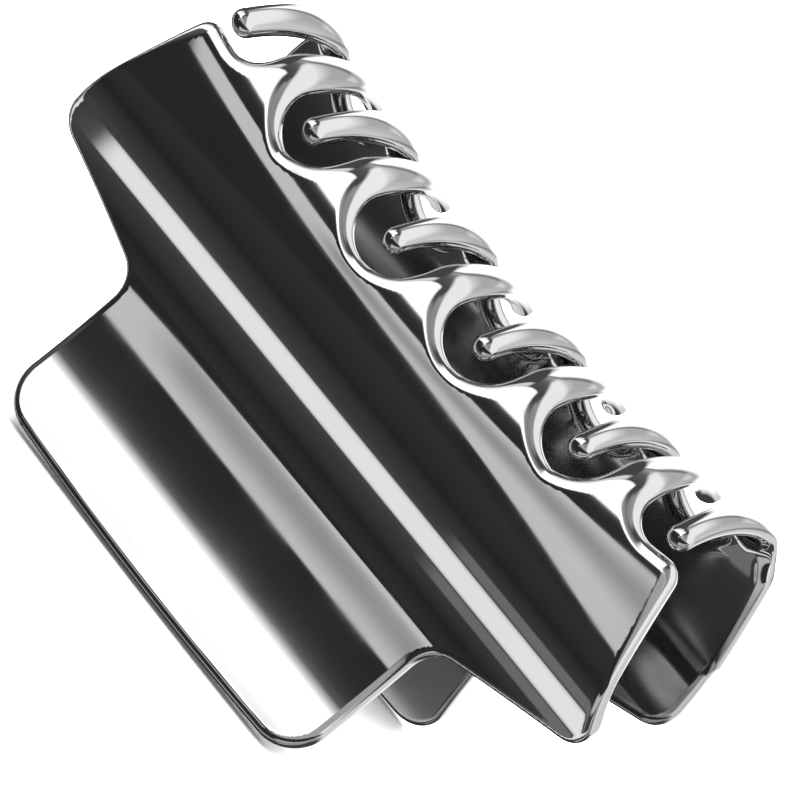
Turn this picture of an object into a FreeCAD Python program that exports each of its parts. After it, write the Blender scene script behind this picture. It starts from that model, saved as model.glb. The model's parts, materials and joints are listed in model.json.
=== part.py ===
import FreeCAD, Part
import math
import os
from FreeCAD import Vector

# Claw hair clip: two chrome-plated moulded jaws on one hinge pin, held shut by a torsion spring.
# Millimetres. +X runs along the hinge pin, the front jaw is at -Y and the rear jaw at +Y,
# +Z runs from the finger tabs up to the teeth. The clip stands on the free edges of its tabs.

# ---- jaw sizes ---------------------------------------------------------------------------
wall = 2.4                  # thickness of the moulded plate
rim_flat = 0.4              # flat left between the two roundings of every free rim
run_out = 3.0               # plate left below the tab's free edge, trimmed off again
tab_half_spread = 16.9      # centre plane to the middle of the plate, at the tab's free edge
tab_half_width = 26.0       # finger tab of the front jaw, half its width
tab_edge_radius = 455.0     # the tab's free edge is very slightly bowed
tab_corner = 4.8
neck_corner = 3.8           # inner corner between tab and shoulder
shoulder_corner = 3.2
top_corner = 1.8
neck_height = 18.5          # where the tab's side meets the shoulder line
shoulder_half = 45.3        # outermost point of the front jaw
rear_inset = 1.0            # the rear jaw is this much narrower at each side
shoulder_height = 24.5
end_half_at_top = 39.0      # the front jaw's ends lean inwards to this
bow_radius = 214.0          # the tooth line is bowed lengthwise; radius at the tooth roots
bow_lean = 15.0             # the bow steps up the plate's lean, degrees from upright
root_level = 41.0           # height of the tooth roots at mid length

# Side view of the jaw, from the tab's free edge to the tooth tips, along the middle of the
# plate: (length of a straight, or radius of a bend, turn in degrees). Plus turns inwards.
tab_slope = 28.0            # lean of the tab at its free edge
tab_bend = (75.5, -15.0)
waist_bend = (10.7, -41.0)
flank_length = 3.2
barrel_low = (7.7, 28.0)
barrel_high = (22.6, 10.0)
brow = (26.6, 7.0)
tooth_rise = (20.0, 8.0)
tooth_shoulder = (5.0, 47.0)
tooth_crown = (21.0, 45.0)

# ---- teeth -------------------------------------------------------------------------------
front_teeth = (-29.2, -15.2, 0.0, 15.2, 29.2)           # positions along the root line
rear_teeth = (-36.4, -22.2, -7.3, 8.0, 22.8, 36.8)      # set between the front ones
notch_level = 39.9          # bottom of the scallops between teeth
end_notch_level = 40.9      # front plate's edge outside the last tooth
end_notch_corner = 3.2
rear_end_level = 43.0       # where the rear jaw's leaning end runs into its last tooth
rear_end_corner = 9.2
open_level = 50.0           # clear above the whole jaw
stub_half = 2.1             # half width of the plate stubs that end inside the teeth
stub_turn = 40.0            # how far the stubs follow the bend over the jaw
notch_corner = 4.6
tooth_root = (3.6, 2.0)     # width and thickness, buried in the plate
tooth_foot = (4.6, 2.9)
tooth_middle = (3.9, 2.9)
tooth_end = (2.75, 2.55)
tip_ball = 1.45             # radius of the ball on each tooth tip

tooth_foot_rise = 1.6       # how soon a tooth reaches its full thickness
tooth_sections = 8

# ---- hinge -------------------------------------------------------------------------------
pin_radius = 1.2
pin_clearance = 0.06        # running fit in all four eyes
eye_radius = 3.1
lug_thickness = 2.2
lug_gap = 0.4               # between neighbouring lugs of the two jaws
rear_lug_inner = 4.7        # inner face of the rear lugs, from mid length
lug_foot_half = 5.0         # half height where a lug grows out of the wall
lug_root_depth = 0.75       # how far past the middle of the wall a lug reaches
head_radius = 1.9
head_length = 0.8
head_rounding = 0.5         # radius of the head's outer edge
head_gap = 0.1

# ---- spring ------------------------------------------------------------------------------
wire = 1.2                  # wire diameter
coil_radius = 2.25          # to the middle of the wire
coil_pitch = 1.26
coil_turns = 5
leg_drop = 12.0             # hinge axis down to where the legs bear on the tabs
leg_gap = 0.03

# ---- construction ------------------------------------------------------------------------
profile_step = 2.0          # spacing of the points that the plate's section is drawn through
sheet_sections = 9
sheet_margin = 2.0          # the plate is lofted this much too wide and cut to its outline
bow_margin = 1.0            # the bow is complete this far above the brow
below = 8.0                 # outlines reach this far under the tab, to be trimmed
clear_depth = 60.0          # more than the clip's whole depth
broad_area = 500.0          # only the plate's two curved faces are larger
stub_area = 100.0           # the ends of the stubs are smaller

wire_radius = wire / 2.0
half_wall = wall / 2.0
rim_radius = (wall - rim_flat) / 2.0
run_out_turn = math.degrees(run_out / tab_bend[0])
bow_centre = root_level + bow_radius
ORIGIN = Vector(0, 0, 0)
X_AXIS = Vector(1, 0, 0)
Y_AXIS = Vector(0, 1, 0)


class Profile:
    """Middle line of the jaw seen from the end: a chain of bends, half-width y against height z."""

    def __init__(self):
        self.pieces = []
        self.y = tab_half_spread + run_out * math.sin(math.radians(tab_slope))
        self.z = -run_out * math.cos(math.radians(tab_slope))
        self.angle = tab_slope + run_out_turn
        self.length = 0.0

    def add(self, radius, turn):
        """A bend; its angle is that of the outward normal above the horizontal."""
        length = radius * math.radians(abs(turn))
        self._append(length, turn)

    def straight(self, length):
        self._append(length, 0.0)

    def _append(self, length, turn):
        self.pieces.append((self.length, length, self.y, self.z, self.angle, turn))
        self.y, self.z, self.angle = self._walk(self.pieces[-1], length)
        self.length += length

    def _walk(self, piece, distance):
        start, length, y, z, angle, turn = piece
        a0 = math.radians(angle)
        if turn == 0.0:
            return y - distance * math.sin(a0), z + distance * math.cos(a0), angle
        radius = length / math.radians(turn)
        a1 = a0 + distance / radius
        y1 = y + radius * (math.cos(a1) - math.cos(a0))
        z1 = z + radius * (math.sin(a1) - math.sin(a0))
        return y1, z1, math.degrees(a1)

    def at(self, distance):
        """Half-width, height and normal angle at a distance along the line."""
        for piece in self.pieces:
            if distance <= piece[0] + piece[1]:
                return self._walk(piece, distance - piece[0])
        return self._walk(self.pieces[-1], distance - self.pieces[-1][0])

    def point(self, distance, offset=0.0):
        """The same as a point of the front jaw, moved outwards by an offset."""
        y, z, angle = self.at(distance)
        a = math.radians(angle)
        return Vector(0, -(y + offset * math.cos(a)), z + offset * math.sin(a))

    def curve(self, offset, end):
        """The line moved outwards by an offset, as one smooth curve up to a distance."""
        count = int(end / profile_step) + 1
        points = [self.point(end * i / (count - 1), offset) for i in range(count)]
        smooth = Part.BSplineCurve()
        smooth.interpolate(points)
        return smooth.toShape()

    def distance_at_height(self, height):
        low = 0.0
        high = self.length
        while high - low > 1e-6:
            middle = (low + high) / 2.0
            if self.at(middle)[1] < height:
                low = middle
            else:
                high = middle
        return low


def make_profile():
    line = Profile()
    line.add(tab_bend[0], tab_bend[1] - run_out_turn)
    line.add(*waist_bend)
    line.straight(flank_length)
    line.add(*barrel_low)
    line.bow_start = line.length
    line.add(*barrel_high)
    line.add(*brow)
    line.bow_end = line.length + bow_margin
    line.crown_start = line.length
    line.add(*tooth_rise)
    line.stub_end = line.length + math.radians(stub_turn) * tooth_shoulder[0]
    line.add(*tooth_shoulder)
    line.add(*tooth_crown)
    return line


profile = make_profile()
waist_distance = run_out + math.radians(-tab_bend[1]) * tab_bend[0]
waist_distance += math.radians(tab_slope + tab_bend[1]) * waist_bend[0]
waist_y, hinge_height, _ = profile.at(waist_distance)
HINGE = Vector(0, 0, hinge_height)
front_lug_inner = rear_lug_inner + lug_thickness + lug_gap
BOW_CENTRE = Vector(0, 0, bow_centre)


def along_bow(shape, position):
    """Carry a shape made at mid length to a position along the bowed root line."""
    moved = shape.copy()
    moved.rotate(BOW_CENTRE, Y_AXIS, -math.degrees(math.asin(position / bow_radius)))
    moved.translate(Vector(0, bow_shift(position).y, 0))
    return moved


def bow_point(position, across, level):
    """Front-view point beside a tooth's centre line: across it, and at a level of the bow."""
    angle = math.asin(position / bow_radius)
    radius = bow_centre - level
    x = radius * math.sin(angle) + across * math.cos(angle)
    z = bow_centre - radius * math.cos(angle) + across * math.sin(angle)
    return x, z


def rounded_wire(corners):
    """Closed wire in the XZ plane from (x, z, radius) corners."""
    points = [Vector(x, 0, z) for x, z, r in corners]
    edges = []
    joints = []
    count = len(corners)
    for i in range(count):
        here = points[i]
        radius = corners[i][2]
        if radius <= 0.0:
            joints.append((here, None, here))
            continue
        to_last = (points[i - 1] - here).normalize()
        to_next = (points[(i + 1) % count] - here).normalize()
        half = to_last.getAngle(to_next) / 2.0
        reach = radius / math.tan(half)
        middle_way = (to_last + to_next).normalize()
        middle = here + middle_way * (radius / math.sin(half) - radius)
        joints.append((here + to_last * reach, middle, here + to_next * reach))
    for i in range(count):
        first, middle, last = joints[i]
        if middle is not None:
            edges.append(Part.Arc(first, middle, last).toShape())
        following = joints[(i + 1) % count][0]
        if last.distanceToPoint(following) > 1e-6:
            edges.append(Part.LineSegment(last, following).toShape())
    return Part.Wire(edges)


def side_corners(inset, last, hand):
    """Front-view corners of one side, from below the tab up to the last tooth."""
    tab = tab_half_width - inset
    corners = [(tab, -below, 0.0)]
    corners.append((tab, neck_height, neck_corner))
    corners.append((shoulder_half - inset, shoulder_height, shoulder_corner))
    if last + stub_half + notch_corner < end_half_at_top:
        z = bow_point(end_half_at_top, 0.0, end_notch_level)[1]
        corners.append((end_half_at_top, z, top_corner))
        x, z = bow_point(last, stub_half, end_notch_level)
        corners.append((x, z, end_notch_corner))
    else:
        x, z = bow_point(last, stub_half, rear_end_level)
        corners.append((x, z, rear_end_corner))
    return [(hand * x, z, radius) for x, z, radius in corners]


def outline(teeth, inset):
    """Front view of a jaw: tab, shoulders, leaning ends and the scalloped tooth line."""
    corners = side_corners(inset, teeth[-1], 1.0)
    for i, position in reversed(list(enumerate(teeth))):
        if i < len(teeth) - 1:
            x, z = bow_point(position, stub_half, notch_level)
            corners.append((x, z, notch_corner))
        for across in (stub_half, -stub_half):
            x, z = bow_point(position, across, open_level)
            corners.append((x, z, 0.0))
        if i > 0:
            x, z = bow_point(position, -stub_half, notch_level)
            corners.append((x, z, notch_corner))
    corners.extend(reversed(side_corners(inset, -teeth[0], -1.0)))
    return rounded_wire(corners)


def bow_rise(x):
    """How much higher the tooth line is at x than at mid length."""
    return bow_radius - math.sqrt(bow_radius ** 2 - x ** 2)


def bow_shift(x):
    """The same rise as a step up the lean of the upper plate."""
    rise = bow_rise(x)
    return Vector(0, rise * math.tan(math.radians(bow_lean)), rise)


def bow_share(distance):
    """None of the bow below the barrel's widest line, all of it from the tooth roots up."""
    t = min(max((distance - profile.bow_start) / (profile.bow_end - profile.bow_start), 0.0), 1.0)
    return t * t * (3.0 - 2.0 * t)


def side_curve(x, offset):
    """One side of the plate's section at x, as one smooth curve from its foot to the stubs' end."""
    count = int(profile.stub_end / profile_step) + 1
    distances = [profile.stub_end * i / (count - 1) for i in range(count)]
    points = []
    for distance in distances:
        shift = bow_shift(x) * bow_share(distance)
        points.append(profile.point(distance, offset) + shift + X_AXIS * x)
    smooth = Part.BSplineCurve()
    smooth.interpolate(Points=points, Parameters=distances)
    return smooth


def curved_sheet():
    """The plate as one band of even thickness, straight below and bowed along its top."""
    reach = shoulder_half + sheet_margin
    sections = []
    for i in range(sheet_sections):
        x = reach * (2.0 * i / (sheet_sections - 1) - 1.0)
        outer = side_curve(x, half_wall)
        inner = side_curve(x, -half_wall)
        top = Part.LineSegment(outer.EndPoint, inner.EndPoint)
        foot = Part.LineSegment(inner.StartPoint, outer.StartPoint)
        inner.reverse()
        sections.append(Part.Wire([c.toShape() for c in (outer, top, inner, foot)]))
    return Part.makeLoft(sections, True, False)


def tab_edge_limit():
    """Large round bar whose lower side trims the tab's free edge square to the plate."""
    y, z, angle = profile.at(run_out)
    a = math.radians(angle)
    outwards = Vector(0, -math.cos(a), math.sin(a))
    upwards = Vector(0, math.sin(a), math.cos(a))
    centre = Vector(0, -y, z) + upwards * tab_edge_radius
    start = centre - outwards * clear_depth
    limit = Part.makeCylinder(tab_edge_radius, 2.0 * clear_depth, start, outwards)
    limit.rotate(centre, outwards, 90.0)
    return limit


def is_tab_corner(edge):
    """The short edges across the plate where the tab's free edge meets its sides."""
    box = edge.BoundBox
    across = edge.Length < 2.0 * wall and box.XLength < half_wall
    return across and box.ZMax < tab_corner and abs(box.Center.x) > tab_half_width / 2.0


def is_broad(face):
    """The plate's two curved faces; everything else is a side cut through its thickness."""
    return type(face.Surface).__name__ == "BSplineSurface" and face.Area > broad_area


def is_stub_end(face):
    """The ends of the plate's stubs, which stay hidden inside the teeth."""
    return type(face.Surface).__name__ == "BSplineSurface" and face.Area < stub_area


def rim_edges(shape):
    """Edges between a curved face and a side cut, except round the hidden ends of the stubs."""
    broad = []
    side = []
    for face in shape.Faces:
        if is_broad(face):
            broad.extend(face.Edges)
        elif not is_stub_end(face):
            side.extend(face.Edges)
    hashes = {}
    for edge in side:
        hashes.setdefault(edge.hashCode(), []).append(edge)
    rim = []
    for edge in broad:
        if any(edge.isSame(other) for other in hashes.get(edge.hashCode(), [])):
            rim.append(edge)
    return rim


def plate(teeth, inset):
    """The moulded plate cut to its outline, with rounded tab corners and rims."""
    face = Part.Face(outline(teeth, inset))
    face.translate(Y_AXIS * -clear_depth)
    cutter = face.extrude(Y_AXIS * 2.0 * clear_depth)
    body = curved_sheet().common(cutter).common(tab_edge_limit()).Solids[0]
    body = body.makeFillet(tab_corner, [e for e in body.Edges if is_tab_corner(e)])
    return body.makeFillet(rim_radius, rim_edges(body))


def round_section(distance, size):
    """Cross-section of a tooth, square to the middle line: a bar with fully round sides."""
    width, thickness = size
    radius = thickness / 2.0
    flat = width / 2.0 - radius
    centre = profile.point(distance)
    up = (profile.point(distance, 1.0) - centre) * radius
    side = X_AXIS * flat
    tip = X_AXIS * radius
    right_top = centre + side + up
    right_low = centre + side - up
    left_low = centre - side - up
    left_top = centre - side + up
    edges = [
        Part.Arc(right_top, centre + side + tip, right_low).toShape(),
        Part.LineSegment(right_low, left_low).toShape(),
        Part.Arc(left_low, centre - side - tip, left_top).toShape(),
        Part.LineSegment(left_top, right_top).toShape(),
    ]
    return Part.Wire(edges)


def blend(first, last, share):
    return tuple(a + (b - a) * share for a, b in zip(first, last))


def tooth():
    """One curved tooth at mid length, from inside the plate to the ball on its tip."""
    start = profile.crown_start
    end = profile.length
    foot = start + tooth_foot_rise
    span = end - foot
    sections = [round_section(start, tooth_root), round_section(foot, tooth_foot)]
    for step in range(1, tooth_sections + 1):
        share = step / tooth_sections
        if share < 0.5:
            size = blend(tooth_foot, tooth_middle, share * 2.0)
        else:
            size = blend(tooth_middle, tooth_end, share * 2.0 - 1.0)
        sections.append(round_section(foot + span * share, size))
    bar = Part.makeLoft(sections, True, False)
    return bar.fuse(Part.makeSphere(tip_ball, profile.point(end)))


def lug(inner, clear_of_wall):
    """A hinge lug: an eye round the pin on a web that grows out of the jaw's inner wall."""
    root_y = -(waist_y + clear_of_wall)
    corners = [
        Vector(inner, 0, hinge_height + eye_radius),
        Vector(inner, 0, hinge_height - eye_radius),
        Vector(inner, root_y, hinge_height - lug_foot_half),
        Vector(inner, root_y, hinge_height + lug_foot_half),
    ]
    web = Part.Face(Part.makePolygon(corners + corners[:1])).extrude(X_AXIS * lug_thickness)
    start = Vector(inner, 0, hinge_height)
    return web.fuse(Part.makeCylinder(eye_radius, lug_thickness, start, X_AXIS))


def pin_hole():
    start = Vector(-shoulder_half, 0, hinge_height)
    return Part.makeCylinder(pin_radius + pin_clearance, 2.0 * shoulder_half, start, X_AXIS)


def jaw(teeth, lug_inner, inset):
    """One jaw in the front position: plate, teeth and a pair of hinge lugs."""
    pattern = tooth()
    added = [along_bow(pattern, position) for position in teeth]
    for inner in (lug_inner, -lug_inner - lug_thickness):
        added.append(lug(inner, lug_root_depth))
    body = plate(teeth, inset).fuse(added)
    return body.cut(pin_hole()).Solids[0]


def hinge_pin(front_lug_outer):
    """Steel pin through all four eyes, with a rounded head at each end."""
    half = front_lug_outer + head_gap
    length = 2.0 * (half + head_length / 2.0)
    shank = Part.makeCylinder(pin_radius, length, Vector(-length / 2.0, 0, hinge_height), X_AXIS)
    heads = []
    for side in (1.0, -1.0):
        start = Vector(side * half, 0, hinge_height)
        head = Part.makeCylinder(head_radius, head_length, start, X_AXIS * side)
        rim = [e for e in head.Edges if abs(e.BoundBox.Center.x) > half + head_length / 2.0]
        heads.append(head.makeFillet(head_rounding, [e for e in rim if e.Closed]))
    return shank.fuse(heads)


def leg_end():
    """Where the front leg bears: middle of the wire, resting on the tab's inner face."""
    distance = profile.distance_at_height(hinge_height - leg_drop)
    return profile.point(distance, -(half_wall + wire_radius + leg_gap))


def torsion_spring():
    """Close-wound coil round the pin with one straight leg down each tab."""
    front_end = leg_end() - HINGE
    reach = math.hypot(front_end.y, front_end.z)
    lean = math.atan2(-front_end.y, -front_end.z) - math.asin(coil_radius / reach)
    turns = coil_turns + 0.5 - lean / math.pi
    half = turns * coil_pitch / 2.0
    coil = Part.makeHelix(coil_pitch, 2.0 * half, coil_radius, 0, True)
    coil.rotate(ORIGIN, Y_AXIS, -90.0)
    coil.rotate(ORIGIN, X_AXIS, math.degrees(lean) - 90.0)
    coil.translate(X_AXIS * half)
    touch_y = coil_radius * math.cos(lean)
    touch_z = coil_radius * math.sin(lean)
    rear_foot = Vector(half, -front_end.y, front_end.z)
    front_foot = Vector(-half, front_end.y, front_end.z)
    rear_leg = Part.LineSegment(rear_foot, Vector(half, touch_y, touch_z))
    front_leg = Part.LineSegment(Vector(-half, -touch_y, touch_z), front_foot)
    path = Part.Wire([rear_leg.toShape()] + coil.Edges + [front_leg.toShape()])
    along = Vector(0, touch_y, touch_z) - Vector(0, rear_foot.y, rear_foot.z)
    section = Part.Wire(Part.Circle(rear_foot, along, wire_radius).toShape())
    spring = path.makePipeShell([section], True, False)
    spring.translate(HINGE)
    return spring


def stand_on_floor(shapes):
    """Lift the clip so that its lowest points, the free edges of the tabs, lie on z = 0."""
    lift = -min(shape.optimalBoundingBox().ZMin for shape in shapes)
    for shape in shapes:
        shape.translate(Vector(0, 0, lift))


front_jaw = jaw(front_teeth, front_lug_inner, 0.0)
rear_jaw = jaw(rear_teeth, rear_lug_inner, rear_inset).mirror(ORIGIN, Y_AXIS)
clip = {
    "front_jaw": front_jaw,
    "rear_jaw": rear_jaw,
    "hinge_pin": hinge_pin(front_lug_inner + lug_thickness),
    "torsion_spring": torsion_spring(),
}
stand_on_floor(clip.values())

os.makedirs("parts", exist_ok=True)
for name, shape in clip.items():
    shape.exportStep("parts/" + name + ".step")
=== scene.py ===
import json
import math

import bpy
import numpy as np
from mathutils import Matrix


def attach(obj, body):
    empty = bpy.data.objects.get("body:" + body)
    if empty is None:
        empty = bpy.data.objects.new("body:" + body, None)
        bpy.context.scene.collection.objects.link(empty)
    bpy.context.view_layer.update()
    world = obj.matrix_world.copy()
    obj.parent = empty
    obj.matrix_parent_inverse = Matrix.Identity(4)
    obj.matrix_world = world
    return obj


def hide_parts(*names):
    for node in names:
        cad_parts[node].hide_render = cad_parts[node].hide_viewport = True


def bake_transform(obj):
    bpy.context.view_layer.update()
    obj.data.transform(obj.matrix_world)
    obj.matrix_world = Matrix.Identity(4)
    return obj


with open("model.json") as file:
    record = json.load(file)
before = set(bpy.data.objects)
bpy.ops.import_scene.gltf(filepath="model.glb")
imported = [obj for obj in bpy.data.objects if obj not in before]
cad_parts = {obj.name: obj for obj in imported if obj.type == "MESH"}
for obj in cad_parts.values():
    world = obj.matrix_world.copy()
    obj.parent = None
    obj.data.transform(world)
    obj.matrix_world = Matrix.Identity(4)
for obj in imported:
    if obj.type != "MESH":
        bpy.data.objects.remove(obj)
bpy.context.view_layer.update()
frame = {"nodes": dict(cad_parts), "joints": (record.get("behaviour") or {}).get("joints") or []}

import openvdb
from mathutils import Matrix, Vector

# Looks of the chrome claw clip. Shapes are worked out in millimetres and scaled to metres.
# +X runs along the hinge pin, the front jaw is at -Y, +Z runs from the finger tabs to the teeth.
MM = 0.001
hinge_level = frame["joints"][0]["pos_m"][2] / MM

# ---- jaw sizes, millimetres --------------------------------------------------------------
wall = 2.4
rim_width = 1.0             # the rim starts to round off this far in from its edge
rim_height = 1.0            # and this far in from each face
rim_power = 2.7             # 2 is a round rim; more leaves its side flatter and its start softer
tab_half_spread = 16.9      # middle of the plate at the tab's free edge, from the centre plane
tab_half_width = 26.0
tab_edge_radius = 455.0     # the tab's free edge is slightly curved
tab_edge_setback = 0.17     # keeps the squarish rim inside the CAD's outline and off the floor
tab_corner = 4.8
neck_corner = 3.8
shoulder_corner = 3.2
top_corner = 1.8
neck_height = 18.5
shoulder_half = 45.3        # outermost point of the front jaw
rear_inset = 1.0            # the rear jaw is this much narrower at each side
shoulder_height = 24.5
end_half_at_top = 39.0      # the front jaw's ends lean inwards to this
side_overrun = 3.0          # a leaning end's line goes on to this many times its length
well_below = -60.0          # and the tab's side starts down here, clear of the jaw
bow_radius = 214.0          # lengthwise bow of the tooth line
bow_lean = 15.0             # the bow steps up the plate's lean above the barrel, degrees
bow_margin = 1.0            # the bow is complete this far past the brow
root_level = 41.0
run_out = 3.0               # the middle line starts this far below the tab's free edge
tab_slope = 28.0            # outward normal above the horizontal at the free edge, degrees

# Side view of the plate's middle line, from the tab up: (bend radius, turn), plus turns inwards.
tab_bend = (75.5, -15.0)
waist_bend = (10.7, -41.0)
flank_length = 3.2
upper_bends = ((7.7, 28.0), (22.6, 10.0), (26.6, 7.0), (20.0, 8.0), (5.0, 50.0), (28.0, 38.0))
bend_easing = 0.9           # each bend eases in and out over this length
line_step = 0.02
line_beyond_tip = 4.0
waist_within = 30.0         # the waist lies in this first stretch of the line

# ---- teeth ---------------------------------------------------------------------------------
teeth_along = {
    "front": (-29.2, -15.2, 0.0, 15.2, 29.2),
    "rear": (-36.4, -22.2, -7.3, 8.0, 22.8, 36.8),
}
notch_level = 39.9          # bottom of the scallops between teeth
end_notch_level = 40.9      # front plate's edge outside the last tooth
notch_radius = 5.3
end_notch_radius = 3.2
rear_end_level = 43.0       # where the rear jaw's leaning ends run into its last teeth
rear_end_blend = 4.0
tooth_half_width = 2.4
tooth_half_at_tip = 1.48
tooth_half_thick = 1.45
tooth_forming = (34.5, 43.5)    # levels between which the plate turns into round teeth

# ---- meshing of the jaws -------------------------------------------------------------------
voxel = 0.3
voxel_layers = 7            # on each side of the plate's middle
side_margin = 1.0           # voxels go this far past the jaw: at its ends,
below_margin = 1.5          # below its free edge
tip_margin = 2.4            # and beyond the tooth line's end
band_voxels = 3.0           # distances are kept this near the skin
settling_rounds = 4         # the skin's points then move onto the exact surface,
longest_move = 0.6          # by at most this share of a voxel a round
least_slope = 0.05
far = 1e9


def smoothstep(low, high, value):
    t = np.clip((value - low) / (high - low), 0.0, 1.0)
    return t * t * (3.0 - 2.0 * t)


class MiddleLine:
    """The jaw's middle line: half-width y, height z and normal angle against distance s."""

    def __init__(self):
        run_out_turn = math.degrees(run_out / tab_bend[0])
        bends = [(tab_bend[0], tab_bend[1] - run_out_turn), waist_bend]
        lengths = [radius * math.radians(abs(turn)) for radius, turn in bends]
        turns = [turn for radius, turn in bends]
        lengths.append(flank_length)
        turns.append(0.0)
        for radius, turn in upper_bends:
            lengths.append(radius * math.radians(turn))
            turns.append(turn)
        self.length = sum(lengths)
        self.bow_start = sum(lengths[:4])
        self.bow_end = sum(lengths[:6]) + bow_margin
        self.s = np.arange(0.0, self.length + line_beyond_tip, line_step)
        knots = np.concatenate([[0.0], np.cumsum(lengths)])
        angles = tab_slope + run_out_turn + np.concatenate([[0.0], np.cumsum(turns)])
        past_tip = np.maximum(self.s - self.length, 0.0) * turns[-1] / lengths[-1]
        angle = np.interp(self.s, knots, angles) + past_tip
        window = int(bend_easing / line_step) | 1
        for _ in range(2):
            padded = np.pad(angle, window // 2, mode="reflect", reflect_type="odd")
            angle = np.convolve(padded, np.ones(window) / window, mode="valid")
        self.angle = np.radians(angle)
        middle = (self.angle[1:] + self.angle[:-1]) / 2.0
        lean = math.radians(tab_slope)
        inwards = np.concatenate([[0.0], np.cumsum(np.sin(middle))]) * line_step
        upwards = np.concatenate([[0.0], np.cumsum(np.cos(middle))]) * line_step
        self.y = tab_half_spread + run_out * math.sin(lean) - inwards
        self.z = upwards - run_out * math.cos(lean)
        self.bend = np.gradient(self.angle, line_step)
        waist = int(np.argmin(np.abs(self.angle[:int(waist_within / line_step)])))
        self.waist_z = self.z[waist]
        self.waist_y = self.y[waist]

    def at(self, s):
        """Half-width, height and normal angle at a distance along the line."""
        return [np.interp(s, self.s, values) for values in (self.y, self.z, self.angle)]

    def turning(self, s):
        """How fast the normal turns at a distance, in radians a millimetre."""
        return np.interp(s, self.s, self.bend)

    def distance_at_level(self, level):
        """Distance at which the line first reaches a height."""
        rising = int(np.argmax(self.z))
        return float(np.interp(level, self.z[:rising], self.s[:rising]))


line = MiddleLine()
lift = hinge_level - line.waist_z
bow_centre = root_level + bow_radius
lean_in = math.tan(math.radians(bow_lean))


def bow_rise(x):
    """How much higher the tooth line is at x than at mid length, and how steeply it rises."""
    chord = np.sqrt(bow_radius ** 2 - x ** 2)
    return bow_radius - chord, x / chord


def bow_share(s):
    """None of the bow below the barrel's widest line, all of it from the tooth roots up."""
    t = np.clip((s - line.bow_start) / (line.bow_end - line.bow_start), 0.0, 1.0)
    return t * t * (3.0 - 2.0 * t), 6.0 * t * (1.0 - t) / (line.bow_end - line.bow_start)


# ---- outline of a jaw as signed distances --------------------------------------------------
def round_cut(a, b, radius):
    """Overlap of two areas given by signed distances, its corner rounded outwards."""
    corner = np.hypot(np.maximum(a + radius, 0.0), np.maximum(b + radius, 0.0))
    return np.minimum(np.maximum(a, b), -radius) + corner


def round_join(a, b, radius):
    """Union of two areas given by signed distances, its inner corner filled with a radius."""
    corner = np.hypot(np.maximum(radius - a, 0.0), np.maximum(radius - b, 0.0))
    return np.maximum(np.minimum(a, b), radius) - corner


def soft_join(a, b, width):
    """Union of two areas, blended wherever their distances differ by less than width."""
    share = np.maximum(width - np.abs(a - b), 0.0) / width
    return np.minimum(a, b) - share * share * width / 4.0


def rounded_path(corners):
    """Lines and arcs of an open path, with the solid on its left, from (x, z, radius) corners."""
    points = [np.array(c[:2]) for c in corners]
    pieces = []
    start = points[0]
    for i in range(1, len(points) - 1):
        before = points[i - 1] - points[i]
        after = points[i + 1] - points[i]
        before /= np.linalg.norm(before)
        after /= np.linalg.norm(after)
        radius = corners[i][2]
        half = math.acos(float(np.dot(before, after))) / 2.0
        reach = radius / math.tan(half)
        middle = (before + after) / np.linalg.norm(before + after)
        centre = points[i] + middle * radius / math.sin(half)
        turn = before[1] * after[0] - before[0] * after[1]
        pieces.append(("line", start, points[i] + before * reach))
        pieces.append(("arc", centre, radius, middle, math.pi / 2.0 - half, np.sign(turn)))
        start = points[i] + after * reach
    pieces.append(("line", start, points[-1]))
    return pieces


def path_distance(pieces, x, z):
    """Signed distance to the path, minus on its left."""
    best = np.full(x.shape, far)
    for piece in pieces:
        if piece[0] == "line":
            a, b = piece[1], piece[2]
            span = np.linalg.norm(b - a)
            ux, uz = (b - a) / span
            t = np.clip((x - a[0]) * ux + (z - a[1]) * uz, 0.0, span)
            gap = np.hypot(x - a[0] - t * ux, z - a[1] - t * uz)
            side = np.where((x - a[0]) * uz - (z - a[1]) * ux > 0.0, 1.0, -1.0)
            signed = gap * side
        else:
            centre, radius, middle, half, turn = piece[1:]
            dx, dz = x - centre[0], z - centre[1]
            reach = np.hypot(dx, dz)
            inside_wedge = -(dx * middle[0] + dz * middle[1]) >= reach * math.cos(half)
            signed = np.where(inside_wedge, (reach - radius) * turn, far)
        best = np.where(np.abs(signed) < np.abs(best), signed, best)
    return best


def bow_point(along, across, level):
    """Front-view point beside a tooth's centre line: across it, and at a level of the bow."""
    angle = math.asin(along / bow_radius)
    radius = bow_centre - level
    x = radius * math.sin(angle) + across * math.cos(angle)
    z = bow_centre - radius * math.cos(angle) + across * math.sin(angle)
    return x, z


def side_path(name, last):
    """Front view of one side edge, mirrored to +X: tab side, neck, shoulder and leaning end."""
    inset = 0.0
    top_x, top_z = end_half_at_top, bow_point(end_half_at_top, 0.0, end_notch_level)[1]
    if name == "rear":
        inset = rear_inset
        top_x, top_z = bow_point(last, tooth_half_width, rear_end_level)
    corner_x = shoulder_half - inset
    high_x = corner_x + (top_x - corner_x) * side_overrun
    high_z = shoulder_height + (top_z - shoulder_height) * side_overrun
    return rounded_path([
        (tab_half_width - inset, well_below, 0.0),
        (tab_half_width - inset, neck_height, neck_corner),
        (corner_x, shoulder_height, shoulder_corner),
        (high_x, high_z, 0.0),
    ])


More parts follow.
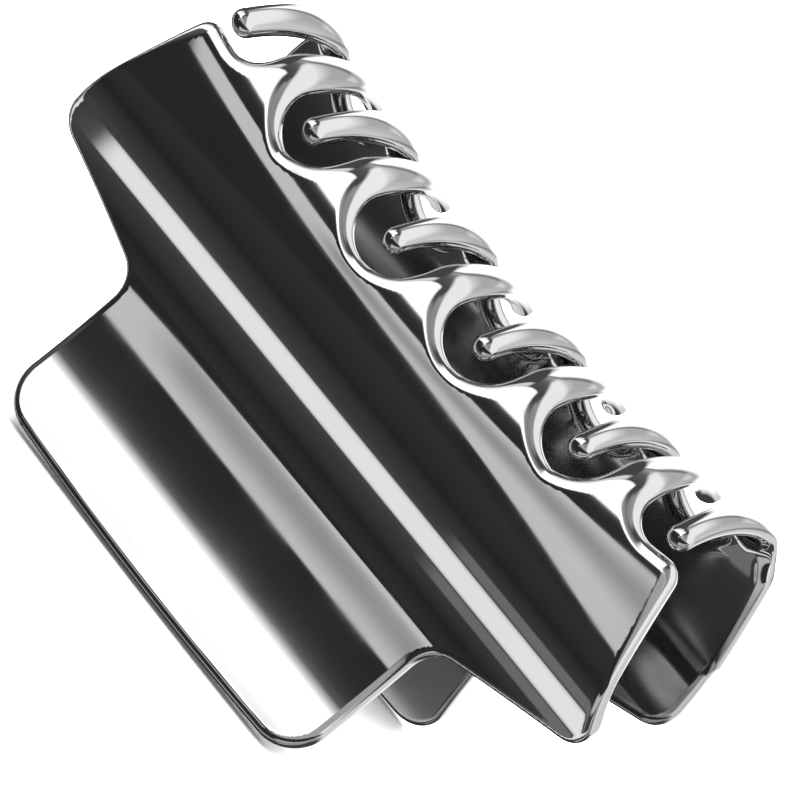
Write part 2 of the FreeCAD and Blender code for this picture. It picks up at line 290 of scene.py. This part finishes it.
class Jaw:
    """A jaw in the front position, as a solid in (x, s, o): lengthwise, up the plate, outwards."""

    def __init__(self, name):
        self.teeth = teeth_along[name]
        self.is_front = name == "front"
        self.paths = [side_path(name, abs(self.teeth[i])) for i in (0, -1)]
        self.notch_s = line.distance_at_level(notch_level)
        self.end_notch_s = line.distance_at_level(end_notch_level)
        self.forming = [line.distance_at_level(level) for level in tooth_forming]

    def tooth_width(self, s):
        """Half width of a tooth, tapering to its tip."""
        wane = smoothstep(self.forming[1], line.length, s)
        return tooth_half_width + (tooth_half_at_tip - tooth_half_width) * wane

    def across(self, along, x, s):
        """Distance sideways from a tooth's middle line."""
        turn = math.asin(along / bow_radius)
        return (x - (bow_centre - line.at(s)[1]) * math.sin(turn)) * math.cos(turn)

    def outline(self, x, s):
        """Signed distance to the jaw's outline, measured on the plate."""
        y, z, _ = line.at(s)
        z = z + bow_rise(x)[0] * bow_share(s)[0]
        foot_y, foot_z, foot_angle = (float(v) for v in line.at(run_out))
        above = (foot_y - y) * math.sin(foot_angle) + (z - foot_z) * math.cos(foot_angle)
        edge_rise = tab_edge_setback + tab_edge_radius - np.sqrt(tab_edge_radius ** 2 - x ** 2)
        bottom = edge_rise - above
        left, right = (path_distance(path, np.abs(x), z) for path in self.paths)
        side = np.where(x < 0.0, left, right)
        area = round_cut(bottom, side, tab_corner)
        width = self.tooth_width(s)
        beyond = (x < self.teeth[0]) | (x > self.teeth[-1])
        finger = np.full(np.shape(x), far)
        for along in self.teeth:
            finger = np.minimum(finger, np.abs(self.across(along, x, s)) - width)
        finger = round_cut(finger, s - line.length - tooth_half_at_tip, tooth_half_at_tip)
        finger = np.maximum(finger, self.notch_s - notch_radius - s)
        if self.is_front:
            top = s - np.where(beyond, self.end_notch_s, self.notch_s)
            area = round_cut(area, top, top_corner)
            inner_corner = np.where(beyond, end_notch_radius, notch_radius)
            return round_join(area, finger, inner_corner)
        between = round_join(round_cut(area, s - self.notch_s, top_corner), finger, notch_radius)
        outer = soft_join(round_cut(area, s - self.end_notch_s, top_corner), finger, rear_end_blend)
        return np.where(beyond, outer, between)

    def solid(self, x, s, o):
        """Below zero inside the jaw; about a distance in millimetres near its surface."""
        edge = self.outline(x, s)
        forming = smoothstep(self.forming[0], self.forming[1], s)
        round_width = rim_width + (self.tooth_width(s) - rim_width) * forming
        round_height = rim_height + (tooth_half_thick - rim_height) * forming
        half = wall / 2.0 + (tooth_half_thick - wall / 2.0) * forming
        a = np.maximum(1.0 + edge / round_width, 0.0)
        b = np.maximum(np.abs(o) - (half - round_height), 0.0) / round_height
        power = rim_power + (2.0 - rim_power) * forming ** 3
        reach = (a ** power + b ** power) ** (1.0 / power)
        value = (reach - 1.0) * np.minimum(round_width, round_height)
        flat_inside = np.maximum(edge + round_width, np.abs(o) - (half - round_height))
        return np.where(reach > 0.0, value, flat_inside - round_height)

    def slopes(self, x, s, o, step=0.01):
        """Gradient of the solid's function in x, s and o."""
        return np.stack([
            (self.solid(x + step, s, o) - self.solid(x - step, s, o)) / (2.0 * step),
            (self.solid(x, s + step, o) - self.solid(x, s - step, o)) / (2.0 * step),
            (self.solid(x, s, o + step) - self.solid(x, s, o - step)) / (2.0 * step),
        ], axis=1)


def jaw_surface(jaw):
    """Points, gradients and quads of the jaw's skin, still flat."""
    x = np.arange(-shoulder_half - side_margin, shoulder_half + side_margin + voxel, voxel)
    s = np.arange(run_out - below_margin, line.length + tip_margin, voxel)
    o = np.arange(-voxel_layers, voxel_layers + 1) * voxel
    flat = (g.ravel() for g in np.meshgrid(x, s, o, indexing="ij"))
    values = jaw.solid(*flat).reshape(len(x), len(s), len(o))
    limit = band_voxels * voxel
    grid = openvdb.FloatGrid()
    grid.background = limit
    grid.copyFromArray(np.clip(values, -limit, limit).astype(np.float32))
    points, quads = grid.convertToQuads(isovalue=0.0)
    p = points.astype(float) * voxel + np.array([x[0], s[0], o[0]])
    for _ in range(settling_rounds):
        value = jaw.solid(*p.T)
        slope = jaw.slopes(*p.T)
        step = (value / np.maximum((slope ** 2).sum(1), least_slope))[:, None] * slope
        longest = np.maximum(np.linalg.norm(step, axis=1) / (voxel * longest_move), 1.0)
        p -= step / longest[:, None]
    return p, jaw.slopes(*p.T), quads


def to_space(p, slope):
    """Bend flat points and gradients into the bowed jaw: positions and unit normals."""
    x, s, o = p.T
    y, z, angle = line.at(s)
    rise, rise_slope = bow_rise(x)
    share, share_slope = bow_share(s)
    zero = np.zeros_like(x)
    outward = np.stack([zero, -np.cos(angle), np.sin(angle)], axis=1)
    upward = np.stack([zero, np.sin(angle), np.cos(angle)], axis=1)
    lean = np.array([0.0, lean_in, 1.0])
    points = np.stack([x, -y, z + lift], axis=1) + outward * o[:, None]
    points += lean * (rise * share)[:, None]
    along_x = lean * (rise_slope * share)[:, None] + np.array([1.0, 0.0, 0.0])
    along_s = upward * (1.0 + o * line.turning(s))[:, None] + lean * (rise * share_slope)[:, None]
    frames = np.stack([along_x, along_s, outward], axis=1)
    normals = np.linalg.solve(frames, slope[:, :, None])[:, :, 0]
    normals /= np.linalg.norm(normals, axis=1)[:, None]
    return points, normals


def mark(piece, name, values):
    """Store a number on each point of a piece, for its material."""
    layer = piece.data.attributes.new(name, "FLOAT", "POINT")
    layer.data.foreach_set("value", values.astype(np.float32))


def mesh_object(name, points, faces, normals=None):
    """A smooth-shaded piece from points in millimetres and a list of faces."""
    mesh = bpy.data.meshes.new(name)
    mesh.from_pydata((points * MM).tolist(), [], faces)
    mesh.shade_smooth()
    if normals is not None:
        mesh.normals_split_custom_set_from_vertices(normals.tolist())
    piece = bpy.data.objects.new(name, mesh)
    bpy.context.scene.collection.objects.link(piece)
    return piece


inside_depth = (0.2, 1.1)   # inwards from the plate's middle, where the finish turns rougher and painted shade darkens its colour
inside_fade = 3.0           # and how far below the scallops that starts


def make_jaw(name):
    """Skin of one jaw, marked where its inside is rougher and darkened by painted shade."""
    p, slope, quads = jaw_surface(Jaw(name))
    points, normals = to_space(p, slope)
    if name == "rear":
        points[:, 1] *= -1.0
        normals[:, 1] *= -1.0
    a, b, c = (points[quads[:, i]] for i in range(3))
    facing = np.einsum("ij,ij->i", np.cross(b - a, c - a), normals[quads[:, 1]]).sum()
    if facing < 0.0:
        quads = quads[:, ::-1]
    shell = mesh_object(name + "_jaw_shell", points, quads.tolist(), normals)
    below_notch = line.distance_at_level(notch_level) - p[:, 1]
    # this mark sets the inside's rougher finish and its painted shade, a darker chrome colour
    mark(shell, "inside",
         smoothstep(*inside_depth, -p[:, 2]) * smoothstep(0.0, inside_fade, below_notch))
    return shell


# ---- hinge lugs ----------------------------------------------------------------------------
eye_radius = 3.1
eye_hole = 1.26             # radius, a running fit on the pin
lug_thickness = 2.2
lug_foot_half = 5.0         # half the lug's height where it meets the jaw
lug_root_depth = 0.75       # the lug goes this far into the wall
lug_edge = 0.2              # chamfer
lug_inner = {"front": 7.3, "rear": 4.7}     # inner face of the lugs, from mid length
lug_steps = 120


def lug_reach(turn, root_y):
    """From the hinge axis to the edge of a lug, in the direction turn in the (y, z) plane."""
    aside, rise = math.cos(turn), abs(math.sin(turn))
    if aside <= 0.0:
        return eye_radius
    to_root = root_y / aside
    taper = (lug_foot_half - eye_radius) / root_y
    if to_root * rise <= lug_foot_half:
        return to_root
    return max(eye_radius, eye_radius / (rise - taper * aside))


def make_lug(name, end):
    """An eye round the pin on a web that grows out of the jaw's inner wall."""
    root_y = line.waist_y + lug_root_depth
    foot = math.atan2(lug_foot_half, root_y)
    full = 2.0 * math.pi
    turns = np.sort(np.append(np.arange(lug_steps) * full / lug_steps, [foot, -foot % full]))
    edge = np.array([lug_reach(t, root_y) for t in turns])
    hole = np.full(len(turns), eye_hole)
    inner = lug_inner[name]
    outer = inner + lug_thickness
    rings = [(hole, inner), (edge - lug_edge, inner), (edge, inner + lug_edge),
             (edge, outer - lug_edge), (edge - lug_edge, outer), (hole, outer)]
    toward = -1.0 if name == "front" else 1.0
    count = len(turns)
    points = np.vstack([np.stack([np.full(count, end * x), toward * r * np.cos(turns),
                                  hinge_level + r * np.sin(turns)], axis=1) for r, x in rings])
    j = np.arange(count)
    k = (j + 1) % count
    bands = [(a * count, (a + 1) % len(rings) * count) for a in range(len(rings))]
    quads = np.vstack([np.stack([a + j, a + k, b + k, b + j], axis=1) for a, b in bands])
    if end * toward < 0.0:
        quads = quads[:, ::-1]
    lug = mesh_object(name + ("_lug_near" if end > 0.0 else "_lug_far"), points, quads.tolist())
    lug.data.shade_flat()
    return lug


# ---- spring --------------------------------------------------------------------------------
wire_radius = 0.6
coil_radius = 2.25
coil_pitch = 1.26
coil_turns = 5
leg_drop = 12.0             # hinge axis down to where the legs bear on the tabs
leg_gap = 0.03
wire_sides = 24
wire_end_rounding = 0.35    # share of the wire's radius
coil_steps = 48             # points a turn
leg_points = 20


def tube(name, path, radius, sides):
    """A round wire along a path of points, its ends slightly rounded."""
    path = np.array(path)
    forward = np.gradient(path, axis=0)
    forward /= np.linalg.norm(forward, axis=1)[:, None]
    inset = radius * wire_end_rounding
    first, last = path[0], path[-1]
    path = np.vstack([first, first + forward[0] * inset, path[1:-1],
                      last - forward[-1] * inset, last])
    forward = np.vstack([forward[0], forward[0], forward[1:-1], forward[-1], forward[-1]])
    radii = np.full(len(path), radius)
    radii[0] = radii[-1] = radius - inset
    askew = [0.3, 0.5, 0.8]     # any direction that isn't along the wire's start
    across = np.cross(forward[0], askew)
    rings = []
    turns = np.arange(sides) * 2.0 * math.pi / sides
    for centre, ahead, size in zip(path, forward, radii):
        across -= ahead * np.dot(across, ahead)
        across /= np.linalg.norm(across)
        other = np.cross(ahead, across)
        around = np.outer(np.cos(turns), across) + np.outer(np.sin(turns), other)
        rings.append(centre + size * around)
    count = len(path)
    points = np.vstack(rings + [path[:1], path[-1:]])
    faces = []
    for i in range(count - 1):
        for j in range(sides):
            k = (j + 1) % sides
            faces.append((i * sides + j, i * sides + k, (i + 1) * sides + k, (i + 1) * sides + j))
    for j in range(sides):
        k = (j + 1) % sides
        faces.append((count * sides, k, j))
        faces.append((count * sides + 1, (count - 1) * sides + j, (count - 1) * sides + k))
    return mesh_object(name, points, faces)


def make_spring():
    """Close-wound coil round the pin, with one straight leg down each tab."""
    s = line.distance_at_level(line.waist_z - leg_drop)
    y, z, angle = (float(v) for v in line.at(s))
    inset = wall / 2.0 + wire_radius + leg_gap
    foot_y = y - inset * math.cos(angle)
    foot_z = z - inset * math.sin(angle) - line.waist_z
    reach = math.hypot(foot_y, foot_z)
    lean = math.atan2(foot_y, -foot_z) - math.asin(coil_radius / reach)
    turns = coil_turns + 0.5 - lean / math.pi
    half = turns * coil_pitch / 2.0
    sweep = np.linspace(0.0, turns * 2.0 * math.pi, int(turns * coil_steps))
    coil_x = half - sweep / (2.0 * math.pi) * coil_pitch
    coil_y = coil_radius * np.cos(lean + sweep)
    coil_z = coil_radius * np.sin(lean + sweep)
    coil = np.stack([coil_x, coil_y, coil_z], axis=1)
    rear_leg = np.linspace([half, foot_y, foot_z], coil[0], leg_points)[:-1]
    front_leg = np.linspace(coil[-1], [-half, -foot_y, foot_z], leg_points)[1:]
    path = np.vstack([rear_leg, coil, front_leg]) + [0.0, 0.0, hinge_level]
    spring = tube("spring_wire", path, wire_radius, wire_sides)
    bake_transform(spring)
    return spring


# ---- materials -----------------------------------------------------------------------------
def new_material(name):
    """An empty material with one Principled shader joined to its output."""
    material = bpy.data.materials.new(name)
    material.use_nodes = True
    nodes = material.node_tree.nodes
    nodes.clear()
    output = nodes.new("ShaderNodeOutputMaterial")
    shader = nodes.new("ShaderNodeBsdfPrincipled")
    material.node_tree.links.new(shader.outputs[0], output.inputs[0])
    return material, nodes, material.node_tree.links, shader


def noise(nodes, links, coordinates, scale, detail):
    """Noise from 0 to 1 over the given coordinates."""
    texture = nodes.new("ShaderNodeTexNoise")
    texture.inputs["Scale"].default_value = scale
    texture.inputs["Detail"].default_value = detail
    links.new(coordinates, texture.inputs["Vector"])
    return texture.outputs["Fac"]


def ramp(nodes, links, source, stops):
    """Grey values against a source from 0 to 1, from (position, grey) stops."""
    node = nodes.new("ShaderNodeValToRGB")
    elements = node.color_ramp.elements
    elements[0].position, elements[1].position = stops[0][0], stops[-1][0]
    elements[0].color = (*[stops[0][1]] * 3, 1.0)
    elements[1].color = (*[stops[-1][1]] * 3, 1.0)
    for position, grey in stops[1:-1]:
        elements.new(position).color = (grey, grey, grey, 1.0)
    links.new(source, node.inputs["Fac"])
    return node.outputs["Color"]


def blend_values(nodes, links, share, first, second):
    """Mix of two values, the second by share."""
    node = nodes.new("ShaderNodeMix")
    node.data_type = "RGBA"
    links.new(share, node.inputs["Factor"])
    links.new(first, node.inputs[6])
    links.new(second, node.inputs[7])
    return node.outputs[2]


def chrome():
    """Mirror plating over a moulding: faint handling haze and a very slight wave.

    The inside is rougher, and its colour is darker as painted shade: a choice of look, not
    something the photograph measures.
    """
    material, nodes, links, shader = new_material("mirror_chrome")
    place = nodes.new("ShaderNodeTexCoord").outputs["Object"]
    shader.inputs["Metallic"].default_value = 1.0
    haze = noise(nodes, links, place, 90.0, 5.0)
    inside = nodes.new("ShaderNodeAttribute")
    inside.attribute_name = "inside"
    bright = ramp(nodes, links, haze, [(0.35, 0.645), (0.65, 0.675)])
    # painted shade: the jaws' inside surfaces get this darker chrome colour
    painted_shade_colour = ramp(nodes, links, haze, [(0.35, 0.40), (0.65, 0.44)])
    colour = blend_values(nodes, links, inside.outputs["Fac"], bright, painted_shade_colour)
    links.new(colour, shader.inputs["Base Color"])
    smooth = ramp(nodes, links, haze, [(0.40, 0.025), (0.75, 0.075)])
    rough = ramp(nodes, links, haze, [(0.40, 0.13), (0.75, 0.18)])
    roughness = blend_values(nodes, links, inside.outputs["Fac"], smooth, rough)
    links.new(roughness, shader.inputs["Roughness"])
    wave = noise(nodes, links, place, 55.0, 1.0)
    bump = nodes.new("ShaderNodeBump")
    bump.inputs["Strength"].default_value = 0.2
    bump.inputs["Distance"].default_value = 0.00004
    links.new(wave, bump.inputs["Height"])
    links.new(bump.outputs["Normal"], shader.inputs["Normal"])
    return material


def steel(name, grey, roughness):
    """Drawn steel with fine lines round it."""
    material, nodes, links, shader = new_material(name)
    place = nodes.new("ShaderNodeTexCoord").outputs["Object"]
    shader.inputs["Metallic"].default_value = 1.0
    stretch = nodes.new("ShaderNodeMapping")
    stretch.inputs["Scale"].default_value = (14.0, 1.0, 1.0)
    links.new(place, stretch.inputs["Vector"])
    lines = noise(nodes, links, stretch.outputs["Vector"], 900.0, 4.0)
    colour = ramp(nodes, links, lines, [(0.3, grey * 0.85), (0.7, grey)])
    links.new(colour, shader.inputs["Base Color"])
    rough = ramp(nodes, links, lines, [(0.3, roughness * 0.7), (0.7, roughness * 1.3)])
    links.new(rough, shader.inputs["Roughness"])
    return material


# ---- studio --------------------------------------------------------------------------------
# Chrome shows its surroundings. Each band and card here was placed and set by comparing
# the photograph's brightness with the directions that this model mirrors from the camera below.
# A direction has a turn about the X axis, 0 level at the front, 90 straight up and 180 level at
# the back, and an X share.
studio_gain = 1.39
round_bands = (             # turn in degrees, brightness
    (-110.0, 0.035), (-85.0, 0.035), (-80.0, 0.82), (-75.3, 0.82), (-73.6, 0.060), (-62.0, 0.042),
    (-45.0, 0.034), (-30.0, 0.018), (-6.0, 0.029), (-2.5, 0.020), (12.0, 0.022), (16.0, 0.028),
    (17.5, 0.040), (18.8, 0.065), (19.8, 0.13), (20.4, 0.40), (20.9, 1.0), (27.6, 1.0),
    (29.0, 0.33), (36.0, 0.25), (46.0, 0.12), (56.0, 0.065), (75.0, 0.065), (92.0, 0.090),
    (104.0, 0.13), (112.0, 0.22), (124.0, 0.37), (140.0, 0.42), (170.0, 0.44), (184.0, 0.42),
    (189.0, 0.050), (250.0, 0.035),
)
studio_cards = (            # turn from, to, softness; X share from, to, softness; brightness, slant
    (8.0, 26.0, 3.0, -0.19, 2.0, 0.02, 0.36, 0.0),
    (26.0, 62.0, 4.0, -0.05, 2.0, 0.06, 0.27, 0.0),
    (58.0, 85.0, 6.0, 0.05, 2.0, 0.08, 0.33, 0.0),
    (58.0, 85.0, 6.0, 0.32, 2.0, 0.10, 0.62, 0.0),
    (88.0, 190.0, 8.0, 0.15, 2.0, 0.06, 0.43, 0.0),
    (88.0, 185.0, 8.0, 0.32, 2.0, 0.07, 0.50, 0.0),
    (88.0, 200.0, 8.0, 0.50, 2.0, 0.07, 0.60, 0.0),
    (12.0, 34.0, 3.0, -2.0, -0.48, 0.02, 0.08, 0.0),
    (-72.0, -56.0, 2.0, -0.29, 0.15, 0.005, 0.15, 0.0),
    (-60.0, -30.0, 4.0, 0.25, 2.0, 0.08, 0.45, 0.0),
    (171.0, 181.0, 4.0, 0.30, 0.60, 0.08, 0.24, 0.0),
    (186.0, 209.0, 3.0, -0.05, 2.0, 0.05, 0.62, 0.0),
    (186.0, 204.0, 3.0, -0.62, 0.28, 0.05, 1.0, 0.0),
    (-107.0, -100.0, 2.0, 0.22, 2.0, 0.05, 0.80, 0.0),
    (-107.0, -100.0, 2.0, -2.0, -0.52, 0.05, 0.80, 0.0),
    (20.0, 230.0, 10.0, 0.72, 2.0, 0.06, 0.68, 0.0),
    (26.0, 72.0, 3.0, -2.0, -0.27, 0.05, 1.1, 0.0),
    (72.0, 93.0, 6.0, -2.0, -0.60, 0.06, 0.70, 0.0),
    (108.0, 131.0, 8.0, -0.33, 2.0, 0.07, 0.88, -73.0),
    (90.0, 190.0, 4.0, -2.0, -0.54, 0.05, 0.06, 0.0),
    (132.0, 150.0, 2.5, -0.54, 0.26, 0.05, 0.20, 50.0),
    (140.0, 192.0, 4.0, -0.55, 0.30, 0.04, 1.15, 50.0),
    (-110.0, -60.0, 2.0, -0.46, -0.4275, 0.003, 0.05, 0.0),
    (2.0, 10.7, 0.25, -0.441, -0.222, 0.003, 0.55, -51.0),
    (4.4, 8.6, 2.0, -0.378, -0.222, 0.012, 0.30, 0.0),
    (21.0, 27.4, 0.6, -0.455, -0.21, 0.01, 1.35, 0.0),
)
slant_middle = -0.33        # X share where a slanted lower edge is at its stated turn


def make_world():
    """The studio round the clip: brightness by turn, with the soft cards laid over it in order."""
    world = bpy.data.worlds.new("studio")
    bpy.context.scene.world = world
    world.use_nodes = True
    nodes = world.node_tree.nodes
    links = world.node_tree.links
    nodes.clear()

    def calc(operation, *values):
        node = nodes.new("ShaderNodeMath")
        node.operation = operation
        for socket, value in zip(node.inputs, values):
            if isinstance(value, float):
                socket.default_value = value
            else:
                links.new(value, socket)
        return node.outputs[0]

    def rise(value, middle, softness):
        node = nodes.new("ShaderNodeMapRange")
        node.interpolation_type = "SMOOTHSTEP"
        node.inputs["From Min"].default_value = middle - softness
        node.inputs["From Max"].default_value = middle + softness
        links.new(value, node.inputs["Value"])
        return node.outputs["Result"]

    split = nodes.new("ShaderNodeSeparateXYZ")
    links.new(nodes.new("ShaderNodeTexCoord").outputs["Generated"], split.inputs[0])
    side = split.outputs["X"]
    turn = calc("ARCTAN2", split.outputs["Z"], calc("MULTIPLY", split.outputs["Y"], -1.0))
    first = round_bands[0][0]
    turn = calc("WRAP", calc("MULTIPLY", turn, 180.0 / math.pi), first + 360.0, first)
    share = calc("DIVIDE", calc("SUBTRACT", turn, first), 360.0)
    stops = [((angle - first) / 360.0, value) for angle, value in round_bands]
    light = ramp(nodes, links, share, stops)
    for low, high, soft, left, right, soft_side, value, slant in studio_cards:
        lean = calc("MULTIPLY", calc("SUBTRACT", side, slant_middle), slant)
        entry = rise(calc("SUBTRACT", turn, lean), low, soft)
        band = calc("SUBTRACT", entry, rise(turn, high, soft))
        width = calc("SUBTRACT", rise(side, left, soft_side), rise(side, right, soft_side))
        cover = calc("MULTIPLY", band, width)
        light = calc("MULTIPLY_ADD", calc("SUBTRACT", value, light), cover, light)
    background = nodes.new("ShaderNodeBackground")
    links.new(light, background.inputs["Color"])
    background.inputs["Strength"].default_value = studio_gain
    output = nodes.new("ShaderNodeOutputWorld")
    links.new(background.outputs[0], output.inputs[0])


lamp_width = 1.6            # metres
lamp_height = 0.9
lamp_watts = 60.0


def make_lamp():
    """A wide soft lamp overhead for the floor; reflections don't show it."""
    lamp = bpy.data.lights.new("overhead_lamp", "AREA")
    lamp.shape = "SQUARE"
    lamp.size = lamp_width
    lamp.energy = lamp_watts
    holder = bpy.data.objects.new("overhead_lamp", lamp)
    holder.location = (0.0, 0.0, lamp_height)
    holder.visible_glossy = False
    bpy.context.scene.collection.objects.link(holder)


floor_width = 4.0           # metres


def make_floor():
    """A plain pale floor, also left out of reflections."""
    bpy.ops.mesh.primitive_plane_add(size=floor_width)
    floor = bpy.context.object
    floor.name = "studio_floor"
    material, nodes, links, shader = new_material("pale_paper")
    place = nodes.new("ShaderNodeTexCoord").outputs["Object"]
    grain = noise(nodes, links, place, 400.0, 3.0)
    links.new(ramp(nodes, links, grain, [(0.0, 0.86), (1.0, 0.90)]), shader.inputs["Base Color"])
    shader.inputs["Roughness"].default_value = 0.9
    shader.inputs["Specular IOR Level"].default_value = 0.1
    floor.data.materials.append(material)
    floor.visible_glossy = False


# ---- camera, from the fit to the photograph's outline --------------------------------------
camera_azimuth = 20.48      # degrees
camera_elevation = 19.79
camera_roll = 43.76
camera_distance = 381.2     # millimetres from the middle of the clip
camera_target = Vector((0.0, -0.5, 18.4 + lift))
camera_lens = 161.8
camera_sensor = 36.0
camera_shift = (0.0967, 0.0770)
camera_reach = 10.0         # metres


def make_camera():
    """The photograph's viewing angle, rolled as the clip lies in its frame."""
    az = math.radians(camera_azimuth)
    el = math.radians(camera_elevation)
    roll = math.radians(camera_roll)
    back = Vector((math.sin(az) * math.cos(el), -math.cos(az) * math.cos(el), math.sin(el)))
    right = Vector((math.cos(az), math.sin(az), 0.0))
    up = back.cross(right)
    side = right * math.cos(roll) + up * math.sin(roll)
    top = -right * math.sin(roll) + up * math.cos(roll)
    data = bpy.data.cameras.new("camera")
    data.lens = camera_lens
    data.sensor_width = camera_sensor
    data.shift_x, data.shift_y = camera_shift
    data.clip_end = camera_reach
    camera = bpy.data.objects.new("camera", data)
    bpy.context.scene.collection.objects.link(camera)
    place = (camera_target + back * camera_distance) * MM
    axes = Matrix((side, top, back)).transposed().to_4x4()
    camera.matrix_world = Matrix.Translation(place) @ axes
    bpy.context.scene.camera = camera


# ---- assembly ------------------------------------------------------------------------------
chrome_finish = chrome()
for name in ("front", "rear"):
    shell = make_jaw(name)
    shell.data.materials.append(chrome_finish)
    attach(shell, name)
    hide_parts(name + "_jaw")
    for end in (1.0, -1.0):
        lug = make_lug(name, end)
        lug.data.materials.append(chrome_finish)
        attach(lug, name)

spring_wire = make_spring()
spring_wire.data.materials.append(steel("spring_wire", 0.45, 0.22))
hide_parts("torsion_spring")

pin = frame["nodes"]["hinge_pin"]
pin.data.materials.clear()
pin.data.materials.append(steel("pin_steel", 0.50, 0.16))

make_world()
make_lamp()
make_floor()
make_camera()
bpy.context.scene.view_settings.view_transform = "Standard"
